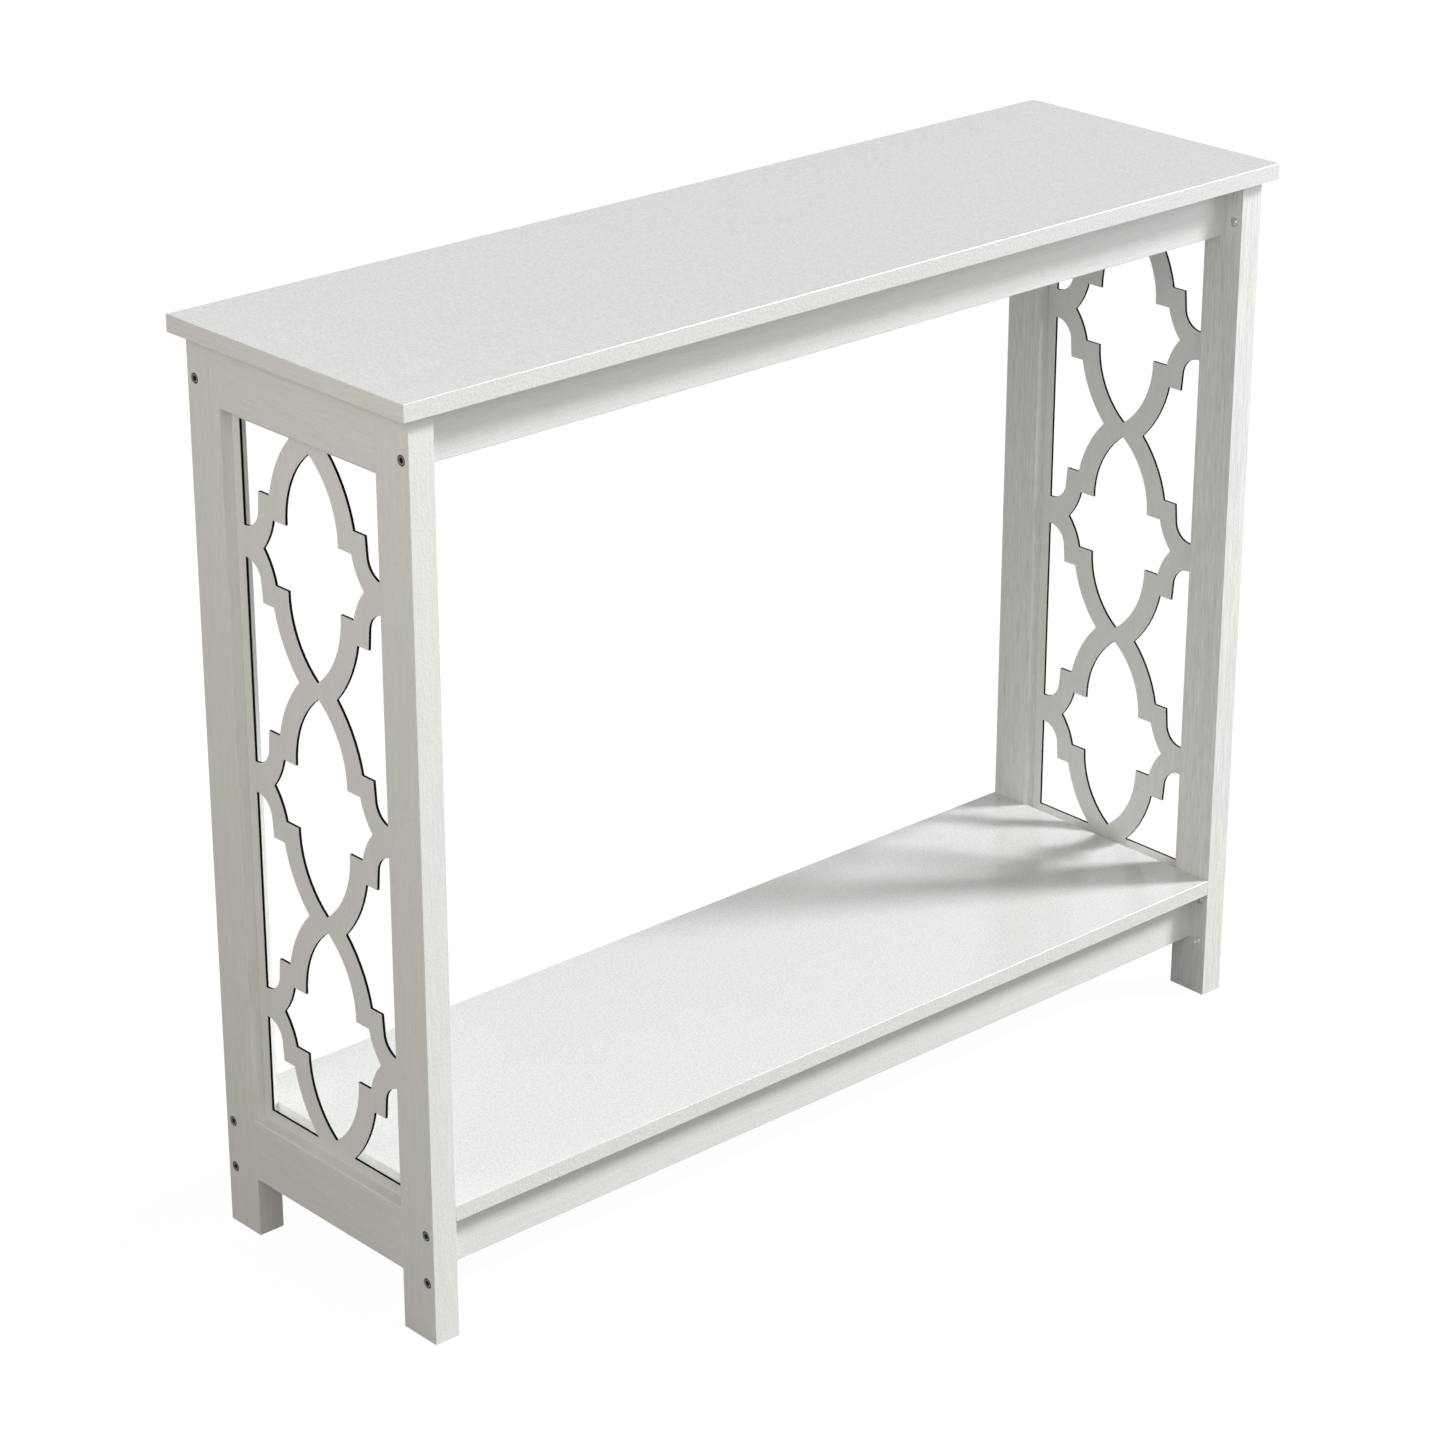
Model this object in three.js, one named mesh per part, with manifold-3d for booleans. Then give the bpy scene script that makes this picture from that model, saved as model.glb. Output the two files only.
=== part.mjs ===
// Console table: a flat top and a low shelf carried by two end frames.
// Each end frame is two legs and two rails around a thin panel pierced with a lantern lattice.
// Two aprons under the top and two stretchers under the shelf tie the end frames together.
// Units are millimetres. X runs along the table, Y from front (-) to back (+), Z up.
// The origin is on the floor under the middle of the top.

import * as THREE from 'three';
import { mergeVertices } from 'three/addons/utils/BufferGeometryUtils.js';
import Module from 'manifold-3d';

const wasm = await Module();
wasm.setup();

// ---------------------------------------------------------------- driving dimensions

// Boards
const TOP_LENGTH = 1000;
const TOP_DEPTH = 305;
const BOARD_THICKNESS = 15;
const SHELF_TOP_Z = 122.5;

// End frames
const END_OVERHANG = 11.5;
const FRONT_OVERHANG = 10;
const LEG_HEIGHT = 811.5;
const LEG_THICKNESS = 25;
const LEG_WIDTH = 41.5;
const TOP_RAIL_HEIGHT = 54.5;
const BOTTOM_RAIL_HEIGHT = 57.5;
const BOTTOM_RAIL_Z = 55.5;
const TENON_THICKNESS = 7;
const TENON_LENGTH = 20;
const TENON_SHOULDER = 8;

// Long rails: aprons under the top, stretchers under the shelf
const LONG_RAIL_HEIGHT = 51;
const LONG_RAIL_THICKNESS = 18;
const LONG_RAIL_SETBACK = 20;

// Lattice panel and the groove that holds it
const PANEL_THICKNESS = 2.5;
const PANEL_TONGUE = 5.5;
const GROOVE_DEPTH = 6;
const PANEL_BORDER = 10.5;
const LANTERN_COUNT = 3;
const LANTERN_PITCH = 208.6;
const LANTERN_BOTTOM_Z = 123.5;
const INNER_STEP_Z = 28;
const OUTER_STEP_Z = 48.2;

// Arcs of one quarter of a lantern, from the lantern's own centre: y outward, z up
const INNER_FLANK = { y: -48.9, z: 30.1, radius: 83.1 };
const OUTER_FLANK = { y: -56.7, z: 24.5, radius: 114 };
const INNER_EAR = { y: 113.9, z: 43.2, radius: 64.8 };
const OUTER_EAR = { y: 89.3, z: 32.4, radius: 18.7 };
const OUTER_NOTCH_INSET = 1.3;
const ARC_SAG = 0.1;

// Two-part connector bolts through the legs
const BOLT_INSET = 9.25;
const BOLT_HEIGHTS = { upper: 774.6, middle: 99.8, lower: 55.2 };
const BOLT_HEAD_RADIUS = 4.6;
const BOLT_HEAD_HEIGHT = 3;
const BOLT_HEAD_CHAMFER = 0.9;
const BOLT_SHANK_RADIUS = 2.5;
const BOLT_LENGTH = 20;
const HEX_SOCKET_RADIUS = 2.3;
const HEX_SOCKET_DEPTH = 2;
const SLEEVE_FLANGE_RADIUS = 4.3;
const SLEEVE_FLANGE_HEIGHT = 1.5;
const SLEEVE_CROWN = 0.8;
const SLEEVE_CROWN_FLAT = 2.6;
const SLEEVE_RIM = 0.24;
const SLEEVE_SHOULDER = 0.64;
const SLEEVE_SHOULDER_INSET = 0.48;
const SLEEVE_RADIUS = 3.6;
const SLEEVE_BORE_RADIUS = 2.7;
const SLEEVE_LENGTH = 16;
const SLEEVE_END_WALL = 2.5;

// Hidden cam fittings that draw the long rails against the legs
const CAM_BACKSET = 24;
const CAM_RADIUS = 7.3;
const CAM_DEPTH = 12.5;
const CAM_MOUTH_RADIUS = 3.7;
const CAM_SLOT_LENGTH = 9;
const CAM_SLOT_WIDTH = 1.6;
const CAM_SLOT_DEPTH = 1.5;
const PIN_STEM_RADIUS = 2.5;
const PIN_STEM_LENGTH = 7.5;
const PIN_COLLAR_RADIUS = 3.5;
const PIN_NECK_RADIUS = 2;
const PIN_HEAD_RADIUS = 3.2;
const PIN_COLLAR_LENGTH = 14;
const PIN_NECK_LENGTH = 5;
const PIN_HEAD_LENGTH = 3.5;

// Wooden dowels that locate the top on the end frames
const DOWEL_RADIUS = 4;
const DOWEL_DEPTH_IN_RAIL = 20;
const DOWEL_DEPTH_IN_TOP = 9;
const DOWEL_CHAMFER = 1;
const DOWEL_SPREAD = 60;

// Fit and facets
const CLEARANCE = 0.15;
const BOTTOM_CLEARANCE = 0.5;
const VISIBLE_SIDES = 18;
const HIDDEN_SIDES = 12;

// ---------------------------------------------------------------- derived dimensions

const FRAME_OUTER_X = TOP_LENGTH / 2 - END_OVERHANG;
const FRAME_INNER_X = FRAME_OUTER_X - LEG_THICKNESS;
const FRAME_MID_X = FRAME_OUTER_X - LEG_THICKNESS / 2;
const FRAME_Y = TOP_DEPTH / 2 - FRONT_OVERHANG;
const LEG_INSIDE_Y = FRAME_Y - LEG_WIDTH;
const LEG_MID_Y = FRAME_Y - LEG_WIDTH / 2;
const TOP_RAIL_Z = LEG_HEIGHT - TOP_RAIL_HEIGHT;
const BOTTOM_RAIL_TOP_Z = BOTTOM_RAIL_Z + BOTTOM_RAIL_HEIGHT;
const SHELF_Z = SHELF_TOP_Z - BOARD_THICKNESS;
const APRON_Z = LEG_HEIGHT - LONG_RAIL_HEIGHT;
const STRETCHER_Z = SHELF_Z - LONG_RAIL_HEIGHT;
const LONG_RAIL_FACE_Y = FRAME_Y - LONG_RAIL_SETBACK;
const LONG_RAIL_MID_Y = LONG_RAIL_FACE_Y - LONG_RAIL_THICKNESS / 2;
const LONG_RAIL_BACK_Y = LONG_RAIL_FACE_Y - LONG_RAIL_THICKNESS;
const OPENING_HALF_WIDTH = LEG_INSIDE_Y - PANEL_BORDER;
const GROOVE_WIDTH = PANEL_THICKNESS + 2 * CLEARANCE;

const SIDES = { left: -1, right: 1 };
const ROWS = { front: -1, rear: 1 };

// ---------------------------------------------------------------- finishes

const whiteBoard = () => new THREE.MeshStandardMaterial({ color: 0xe6e6e3, roughness: 0.55, metalness: 0 });
const whiteWood = () => new THREE.MeshStandardMaterial({ color: 0xe4e3df, roughness: 0.6, metalness: 0 });
const whitePanel = () => new THREE.MeshStandardMaterial({ color: 0xdedcd6, roughness: 0.6, metalness: 0 });
const blackSteel = () => new THREE.MeshStandardMaterial({ color: 0x2b2a29, roughness: 0.4, metalness: 0.9 });
const paleZinc = () => new THREE.MeshStandardMaterial({ color: 0xb9b6ae, roughness: 0.45, metalness: 0.7 });
const rawWood = () => new THREE.MeshStandardMaterial({ color: 0xd8b98a, roughness: 0.8, metalness: 0 });

// ---------------------------------------------------------------- solid helpers

// A closed geometry as a manifold solid
function toSolid(geometry) {
  const bare = geometry.clone();
  bare.deleteAttribute('normal');
  bare.deleteAttribute('uv');
  const merged = mergeVertices(bare, 1e-4);
  const vertProperties = new Float32Array(merged.attributes.position.array);
  const triVerts = new Uint32Array(merged.index.array);
  return new wasm.Manifold(new wasm.Mesh({ numProp: 3, vertProperties, triVerts }));
}

// A manifold solid as a geometry with flat faces
function toGeometry(solid) {
  const mesh = solid.getMesh();
  const geometry = new THREE.BufferGeometry();
  geometry.setAttribute('position', new THREE.BufferAttribute(mesh.vertProperties, 3));
  geometry.setIndex(new THREE.BufferAttribute(mesh.triVerts, 1));
  geometry.computeVertexNormals();
  return geometry;
}

// The blank joined with the additions, less the cutters
function shape(blank, additions, cutters) {
  let solid = toSolid(blank);
  for (const addition of additions) {
    solid = solid.add(toSolid(addition));
  }
  for (const cutter of cutters) {
    solid = solid.subtract(toSolid(cutter));
  }
  return toGeometry(solid);
}

// A box between two limits on each axis, given in either order
function block([x0, x1], [y0, y1], [z0, z1]) {
  const box = new THREE.BoxGeometry(Math.abs(x1 - x0), Math.abs(y1 - y0), Math.abs(z1 - z0));
  return box.translate((x0 + x1) / 2, (y0 + y1) / 2, (z0 + z1) / 2);
}

// A turned piece: profile points are [radius, distance along the axis]
function turned(profile, sides) {
  const points = profile.map(([radius, along]) => new THREE.Vector2(radius, along));
  return new THREE.LatheGeometry(points, sides);
}

// Turns a piece made along +Y so that it points along +X or -X
function alongX(geometry, direction) {
  return geometry.rotateZ(-direction * Math.PI / 2);
}

// A round cutter along X between two limits
function boreX([x0, x1], y, z, radius, sides) {
  const bore = new THREE.CylinderGeometry(radius, radius, Math.abs(x1 - x0), sides);
  return bore.rotateZ(Math.PI / 2).translate((x0 + x1) / 2, y, z);
}

// ---------------------------------------------------------------- boards

function topBoard() {
  const blank = block(
    [-TOP_LENGTH / 2, TOP_LENGTH / 2],
    [-TOP_DEPTH / 2, TOP_DEPTH / 2],
    [0, BOARD_THICKNESS],
  );
  const bores = [];
  for (const side of Object.values(SIDES)) {
    for (const row of Object.values(ROWS)) {
      const depth = DOWEL_DEPTH_IN_TOP + BOTTOM_CLEARANCE;
      const bore = new THREE.CylinderGeometry(
        DOWEL_RADIUS + CLEARANCE, DOWEL_RADIUS + CLEARANCE, 2 * depth, HIDDEN_SIDES,
      );
      bores.push(bore.rotateX(Math.PI / 2).translate(side * FRAME_MID_X, row * DOWEL_SPREAD, 0));
    }
  }
  return shape(blank, [], bores);
}

function shelfBoard() {
  return block([-FRAME_INNER_X, FRAME_INNER_X], [-FRAME_Y, FRAME_Y], [0, BOARD_THICKNESS]);
}

// ---------------------------------------------------------------- end frames

// A leg around its own centre line, foot at zero. side and row point away from the table's middle.
function leg(side, row) {
  const outer = side * LEG_THICKNESS / 2;
  const inner = -outer;
  const inside = -row * LEG_WIDTH / 2;
  const blank = block([outer, inner], [-LEG_WIDTH / 2, LEG_WIDTH / 2], [0, LEG_HEIGHT]);

  const groove = block(
    [-GROOVE_WIDTH / 2, GROOVE_WIDTH / 2],
    [inside - row, inside + row * GROOVE_DEPTH],
    [BOTTOM_RAIL_TOP_Z - GROOVE_DEPTH, TOP_RAIL_Z + GROOVE_DEPTH],
  );
  const mortiseHalf = TENON_THICKNESS / 2 + CLEARANCE;
  const mortiseEnd = inside + row * (TENON_LENGTH + BOTTOM_CLEARANCE);
  const mortises = [[BOTTOM_RAIL_Z, BOTTOM_RAIL_TOP_Z], [TOP_RAIL_Z, LEG_HEIGHT]].map(([low, high]) => block(
    [-mortiseHalf, mortiseHalf],
    [inside - row, mortiseEnd],
    [low + TENON_SHOULDER - CLEARANCE, high - TENON_SHOULDER + CLEARANCE],
  ));

  const boltY = row * (LEG_WIDTH / 2 - BOLT_INSET);
  const past = side;
  const bolts = Object.values(BOLT_HEIGHTS).flatMap((z) => [
    boreX([inner - past, outer + past], boltY, z, SLEEVE_RADIUS + CLEARANCE, HIDDEN_SIDES),
    boreX(
      [outer - side * (BOLT_HEAD_HEIGHT + CLEARANCE), outer + past],
      boltY, z, BOLT_HEAD_RADIUS + CLEARANCE, VISIBLE_SIDES,
    ),
    boreX(
      [inner - past, inner + side * (SLEEVE_FLANGE_HEIGHT + CLEARANCE)],
      boltY, z, SLEEVE_FLANGE_RADIUS + CLEARANCE, VISIBLE_SIDES,
    ),
  ]);

  const pinY = row * (LONG_RAIL_MID_Y - LEG_MID_Y);
  const pins = [APRON_Z, STRETCHER_Z].map((z) => boreX(
    [inner - past, inner + side * (PIN_STEM_LENGTH + CLEARANCE)],
    pinY, z + LONG_RAIL_HEIGHT / 2, PIN_STEM_RADIUS + CLEARANCE, HIDDEN_SIDES,
  ));
  return shape(blank, [], [groove, ...mortises, ...bolts, ...pins]);
}

// An end rail from leg to leg with a tenon at each end, lower edge at zero.
// The panel's groove is in its upper edge (panelSide 1) or its lower edge (panelSide -1).
function endRail(height, panelSide, dowelHoles) {
  const blank = block(
    [-LEG_THICKNESS / 2, LEG_THICKNESS / 2],
    [-LEG_INSIDE_Y, LEG_INSIDE_Y],
    [0, height],
  );
  const tenonReach = LEG_INSIDE_Y + TENON_LENGTH;
  const tenons = block(
    [-TENON_THICKNESS / 2, TENON_THICKNESS / 2],
    [-tenonReach, tenonReach],
    [TENON_SHOULDER, height - TENON_SHOULDER],
  );
  const edge = panelSide > 0 ? height : 0;
  const groove = block(
    [-GROOVE_WIDTH / 2, GROOVE_WIDTH / 2],
    [-LEG_INSIDE_Y - 1, LEG_INSIDE_Y + 1],
    [edge + panelSide, edge - panelSide * GROOVE_DEPTH],
  );
  const depth = DOWEL_DEPTH_IN_RAIL + BOTTOM_CLEARANCE;
  const bores = dowelHoles.map((y) => {
    const radius = DOWEL_RADIUS + CLEARANCE;
    const bore = new THREE.CylinderGeometry(radius, radius, 2 * depth, HIDDEN_SIDES);
    return bore.rotateX(Math.PI / 2).translate(0, y, height);
  });
  return shape(blank, [tenons], [groove, ...bores]);
}

// ---------------------------------------------------------------- lattice panel

// Points on an arc between two angles in degrees, ends included, with chords within ARC_SAG of it
function arcPoints(arc, fromDeg, toDeg) {
  const stepDeg = THREE.MathUtils.radToDeg(2 * Math.acos(1 - ARC_SAG / arc.radius));
  const steps = Math.ceil(Math.abs(toDeg - fromDeg) / stepDeg);
  const points = [];
  for (let i = 0; i <= steps; i += 1) {
    const angle = THREE.MathUtils.degToRad(fromDeg + (toDeg - fromDeg) * i / steps);
    points.push([arc.y + arc.radius * Math.cos(angle), arc.z + arc.radius * Math.sin(angle)]);
  }
  return points;
}

// The angle on an arc at a given height, on its right-hand or left-hand half
function angleAtHeight(arc, z, half) {
  const angle = THREE.MathUtils.radToDeg(Math.asin((z - arc.z) / arc.radius));
  return half > 0 ? angle : 180 - angle;
}

// The angle on an arc where it meets the lantern's centre line, on its upper half
function angleAtCentreLine(arc) {
  return THREE.MathUtils.radToDeg(Math.acos(-arc.y / arc.radius));
}

// One quarter of a lantern's opening: top point, flank, step, ear, side point
function innerQuarter() {
  const flank = arcPoints(
    INNER_FLANK, angleAtCentreLine(INNER_FLANK), angleAtHeight(INNER_FLANK, INNER_STEP_Z, 1),
  );
  flank[0][0] = 0;
  const ear = arcPoints(
    INNER_EAR, angleAtHeight(INNER_EAR, INNER_STEP_Z, -1), angleAtHeight(INNER_EAR, 0, -1),
  );
  return [...flank, ...ear];
}

// The band's outer edge beside the same quarter: crossing, flank, step, ear, panel border
function outerQuarter() {
  const crossing = LANTERN_PITCH / 2;
  const flank = arcPoints(
    OUTER_FLANK,
    angleAtHeight(OUTER_FLANK, crossing, 1),
    angleAtHeight(OUTER_FLANK, OUTER_STEP_Z, 1),
  );
  const ear = arcPoints(OUTER_EAR, 180, 270);
  const stepEnd = [ear[0][0] - OUTER_NOTCH_INSET, OUTER_STEP_Z];
  const border = [OPENING_HALF_WIDTH, ear[ear.length - 1][1]];
  return [...flank, stepEnd, ...ear, border];
}

// Mirrors a quarter into any of the four quarters of the lantern centred at height z
function placeQuarter(quarter, ySign, zSign, z) {
  return quarter.map(([y, dz]) => new THREE.Vector2(ySign * y, z + zSign * dz));
}

// A closed loop through all four quarters of a lantern
function lanternOpening(z) {
  const quarter = innerQuarter();
  const loop = [
    ...placeQuarter(quarter, 1, 1, z),
    ...placeQuarter(quarter, 1, -1, z).reverse().slice(1),
    ...placeQuarter(quarter, -1, -1, z).slice(1),
    ...placeQuarter(quarter, -1, 1, z).reverse().slice(1, -1),
  ];
  return new THREE.Shape(loop);
}

// The opening at one side between a lantern's upper quarter and the next one's lower quarter
function sideOpening(ySign, z) {
  const quarter = outerQuarter();
  const loop = [
    ...placeQuarter(quarter, ySign, 1, z),
    ...placeQuarter(quarter, ySign, -1, z + LANTERN_PITCH).reverse().slice(0, -1),
  ];
  return new THREE.Shape(loop);
}

// Half a side opening, closed by the panel's top border (zSign 1) or bottom border (zSign -1)
function endOpening(ySign, zSign, z) {
  const quarter = outerQuarter();
  const corner = new THREE.Vector2(ySign * OPENING_HALF_WIDTH, z + zSign * LANTERN_PITCH / 2);
  return new THREE.Shape([...placeQuarter(quarter, ySign, zSign, z), corner]);
}

// Every opening of one panel
function latticeOpenings() {
  const centres = [];
  for (let i = 0; i < LANTERN_COUNT; i += 1) {
    centres.push(LANTERN_BOTTOM_Z + (i + 0.5) * LANTERN_PITCH);
  }
  const openings = centres.map((z) => lanternOpening(z));
  for (const ySign of [-1, 1]) {
    openings.push(...centres.slice(0, -1).map((z) => sideOpening(ySign, z)));
    openings.push(endOpening(ySign, -1, centres[0]));
    openings.push(endOpening(ySign, 1, centres[LANTERN_COUNT - 1]));
  }
  return openings;
}

// A flat outline in y and z given a thickness along X, centred on zero
function uprightSheet(outline, thickness) {
  const sheet = new THREE.ExtrudeGeometry(outline, { depth: thickness, bevelEnabled: false });
  sheet.translate(0, 0, -thickness / 2);
  const upright = new THREE.Matrix4().makeBasis(
    new THREE.Vector3(0, 1, 0), new THREE.Vector3(0, 0, 1), new THREE.Vector3(1, 0, 0),
  );
  return sheet.applyMatrix4(upright);
}

function latticePanel() {
  const halfWidth = LEG_INSIDE_Y + PANEL_TONGUE;
  const blank = block(
    [-PANEL_THICKNESS / 2, PANEL_THICKNESS / 2],
    [-halfWidth, halfWidth],
    [BOTTOM_RAIL_TOP_Z - PANEL_TONGUE, TOP_RAIL_Z + PANEL_TONGUE],
  );
  const cutters = latticeOpenings().map((outline) => uprightSheet(outline, 2 * PANEL_THICKNESS));
  return shape(blank, [], cutters);
}

// ---------------------------------------------------------------- long rails

// An apron or stretcher centred on its own length, lower edge at zero, row pointing outward.
// Each end has a bore for the cam pin and a pocket for the cam in the face toward the middle.
function longRail(row) {
  const blank = block(
    [-FRAME_INNER_X, FRAME_INNER_X],
    [-LONG_RAIL_THICKNESS / 2, LONG_RAIL_THICKNESS / 2],
    [0, LONG_RAIL_HEIGHT],
  );
  const midZ = LONG_RAIL_HEIGHT / 2;
  const cutters = Object.values(SIDES).flatMap((side) => {
    const camX = side * (FRAME_INNER_X - CAM_BACKSET);
    const pinBore = boreX(
      [side * (FRAME_INNER_X + 1), camX], 0, midZ, PIN_COLLAR_RADIUS + CLEARANCE, HIDDEN_SIDES,
    );
    const radius = CAM_RADIUS + CLEARANCE;
    const depth = CAM_DEPTH + BOTTOM_CLEARANCE;
    const pocket = new THREE.CylinderGeometry(radius, radius, 2 * depth, VISIBLE_SIDES);
    pocket.translate(camX, -row * LONG_RAIL_THICKNESS / 2, midZ);
    return [pinBore, pocket];
  });
  return shape(blank, [], cutters);
}

// ---------------------------------------------------------------- fasteners

// Flat-headed bolt with a hex socket, head face at zero, shank along -Y
function legBolt() {
  const body = turned([
    [0, -BOLT_LENGTH],
    [BOLT_SHANK_RADIUS, -BOLT_LENGTH],
    [BOLT_SHANK_RADIUS, -BOLT_HEAD_HEIGHT],
    [BOLT_HEAD_RADIUS, -BOLT_HEAD_HEIGHT],
    [BOLT_HEAD_RADIUS, -BOLT_HEAD_CHAMFER],
    [BOLT_HEAD_RADIUS - BOLT_HEAD_CHAMFER, 0],
    [0, 0],
  ], VISIBLE_SIDES);
  const socket = new THREE.CylinderGeometry(
    HEX_SOCKET_RADIUS, HEX_SOCKET_RADIUS, 2 * HEX_SOCKET_DEPTH, 6,
  );
  return shape(body, [], [socket]);
}

// Sleeve with a blind bore that takes the bolt: barrel along -Y, low crowned flange above zero
function sleeveNut() {
  return turned([
    [0, -SLEEVE_END_WALL],
    [SLEEVE_BORE_RADIUS, -SLEEVE_END_WALL],
    [SLEEVE_BORE_RADIUS, -SLEEVE_LENGTH],
    [SLEEVE_RADIUS, -SLEEVE_LENGTH],
    [SLEEVE_RADIUS, -SLEEVE_FLANGE_HEIGHT],
    [SLEEVE_FLANGE_RADIUS, -SLEEVE_FLANGE_HEIGHT],
    [SLEEVE_FLANGE_RADIUS, SLEEVE_RIM],
    [SLEEVE_FLANGE_RADIUS - SLEEVE_SHOULDER_INSET, SLEEVE_SHOULDER],
    [SLEEVE_CROWN_FLAT, SLEEVE_CROWN],
    [0, SLEEVE_CROWN],
  ], VISIBLE_SIDES);
}

// Cam pin: screw stem below zero, collar, neck and round head above it
function camPin() {
  const neckEnd = PIN_COLLAR_LENGTH + PIN_NECK_LENGTH;
  const headEnd = neckEnd + PIN_HEAD_LENGTH;
  return turned([
    [0, -PIN_STEM_LENGTH],
    [PIN_STEM_RADIUS, -PIN_STEM_LENGTH],
    [PIN_STEM_RADIUS, 0],
    [PIN_COLLAR_RADIUS, 0],
    [PIN_COLLAR_RADIUS, PIN_COLLAR_LENGTH],
    [PIN_NECK_RADIUS, PIN_COLLAR_LENGTH],
    [PIN_NECK_RADIUS, neckEnd],
    [PIN_HEAD_RADIUS, neckEnd],
    [PIN_HEAD_RADIUS, headEnd],
    [0, headEnd],
  ], HIDDEN_SIDES);
}

// Cam: a short drum along Y whose face is at zero, with a side mouth that takes the pin's head
function cam(side, row) {
  const drum = new THREE.CylinderGeometry(CAM_RADIUS, CAM_RADIUS, CAM_DEPTH, VISIBLE_SIDES);
  drum.translate(0, row * CAM_DEPTH / 2, 0);
  const mouth = boreX(
    [-side * CAM_MOUTH_RADIUS, side * (CAM_RADIUS + 1)],
    row * LONG_RAIL_THICKNESS / 2, 0, CAM_MOUTH_RADIUS, HIDDEN_SIDES,
  );
  const half = CAM_SLOT_LENGTH / 2;
  const slotDepth = [-row, row * CAM_SLOT_DEPTH];
  const slots = [
    block([-half, half], slotDepth, [-CAM_SLOT_WIDTH / 2, CAM_SLOT_WIDTH / 2]),
    block([-CAM_SLOT_WIDTH / 2, CAM_SLOT_WIDTH / 2], slotDepth, [-half, half]),
  ];
  return shape(drum, [], [mouth, ...slots]);
}

// Wooden dowel with chamfered ends, standing on zero where the rail meets the top
function topDowel() {
  return turned([
    [0, -DOWEL_DEPTH_IN_RAIL],
    [DOWEL_RADIUS - DOWEL_CHAMFER, -DOWEL_DEPTH_IN_RAIL],
    [DOWEL_RADIUS, -DOWEL_DEPTH_IN_RAIL + DOWEL_CHAMFER],
    [DOWEL_RADIUS, DOWEL_DEPTH_IN_TOP - DOWEL_CHAMFER],
    [DOWEL_RADIUS - DOWEL_CHAMFER, DOWEL_DEPTH_IN_TOP],
    [0, DOWEL_DEPTH_IN_TOP],
  ], HIDDEN_SIDES).rotateX(Math.PI / 2);
}

// ---------------------------------------------------------------- assembly

// Names a mesh and stands it in its group
function place(group, name, geometry, material, x, y, z) {
  const mesh = new THREE.Mesh(geometry, material);
  mesh.name = name;
  mesh.position.set(x, y, z);
  group.add(mesh);
}

function addEndFrame(table, sideName, side) {
  const frame = new THREE.Group();
  frame.position.set(side * FRAME_MID_X, 0, 0);
  for (const [rowName, row] of Object.entries(ROWS)) {
    place(frame, `leg_${sideName}_${rowName}`, leg(side, row), whiteWood(), 0, row * LEG_MID_Y, 0);
  }
  const topRail = endRail(TOP_RAIL_HEIGHT, -1, [-DOWEL_SPREAD, DOWEL_SPREAD]);
  place(frame, `end_top_rail_${sideName}`, topRail, whiteWood(), 0, 0, TOP_RAIL_Z);
  const bottomRail = endRail(BOTTOM_RAIL_HEIGHT, 1, []);
  place(frame, `end_bottom_rail_${sideName}`, bottomRail, whiteWood(), 0, 0, BOTTOM_RAIL_Z);
  place(frame, `lattice_panel_${sideName}`, latticePanel(), whitePanel(), 0, 0, 0);
  table.add(frame);
}

function addLegHardware(table, sideName, side, rowName, row) {
  const y = row * (FRAME_Y - BOLT_INSET);
  for (const [level, z] of Object.entries(BOLT_HEIGHTS)) {
    const spot = `${level}_${sideName}_${rowName}`;
    const bolt = alongX(legBolt(), side);
    place(table, `leg_bolt_${spot}`, bolt, blackSteel(), side * FRAME_OUTER_X, y, z);
    const sleeve = alongX(sleeveNut(), -side);
    place(table, `sleeve_nut_${spot}`, sleeve, paleZinc(), side * FRAME_INNER_X, y, z);
  }
}

function addCamFitting(table, railName, sideName, side, rowName, row, z) {
  const pinY = row * LONG_RAIL_MID_Y;
  const spot = `${railName}_${sideName}_${rowName}`;
  const pin = alongX(camPin(), -side);
  place(table, `cam_pin_${spot}`, pin, paleZinc(), side * FRAME_INNER_X, pinY, z);
  const camX = side * (FRAME_INNER_X - CAM_BACKSET);
  place(table, `cam_${spot}`, cam(side, row), paleZinc(), camX, row * LONG_RAIL_BACK_Y, z);
}

const table = new THREE.Group();
place(table, 'top_board', topBoard(), whiteBoard(), 0, 0, LEG_HEIGHT);
place(table, 'shelf_board', shelfBoard(), whiteBoard(), 0, 0, SHELF_Z);

for (const [rowName, row] of Object.entries(ROWS)) {
  const railY = row * LONG_RAIL_MID_Y;
  place(table, `apron_${rowName}`, longRail(row), whiteWood(), 0, railY, APRON_Z);
  place(table, `stretcher_${rowName}`, longRail(row), whiteWood(), 0, railY, STRETCHER_Z);
}

for (const [sideName, side] of Object.entries(SIDES)) {
  addEndFrame(table, sideName, side);
  for (const [rowName, row] of Object.entries(ROWS)) {
    addLegHardware(table, sideName, side, rowName, row);
    const midHeight = LONG_RAIL_HEIGHT / 2;
    addCamFitting(table, 'apron', sideName, side, rowName, row, APRON_Z + midHeight);
    addCamFitting(table, 'stretcher', sideName, side, rowName, row, STRETCHER_Z + midHeight);
    const dowelY = row * DOWEL_SPREAD;
    const dowelName = `top_dowel_${sideName}_${rowName}`;
    place(table, dowelName, topDowel(), rawWood(), side * FRAME_MID_X, dowelY, LEG_HEIGHT);
  }
}

export default table;
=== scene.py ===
# Looks of the console table: finished wood pieces, painted materials, fasteners, studio.
# Lengths are in metres. X runs along the table, Y from front to rear, Z up from the floor.
import itertools
import math

import bmesh
import bpy
from mathutils import Matrix, Vector


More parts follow.
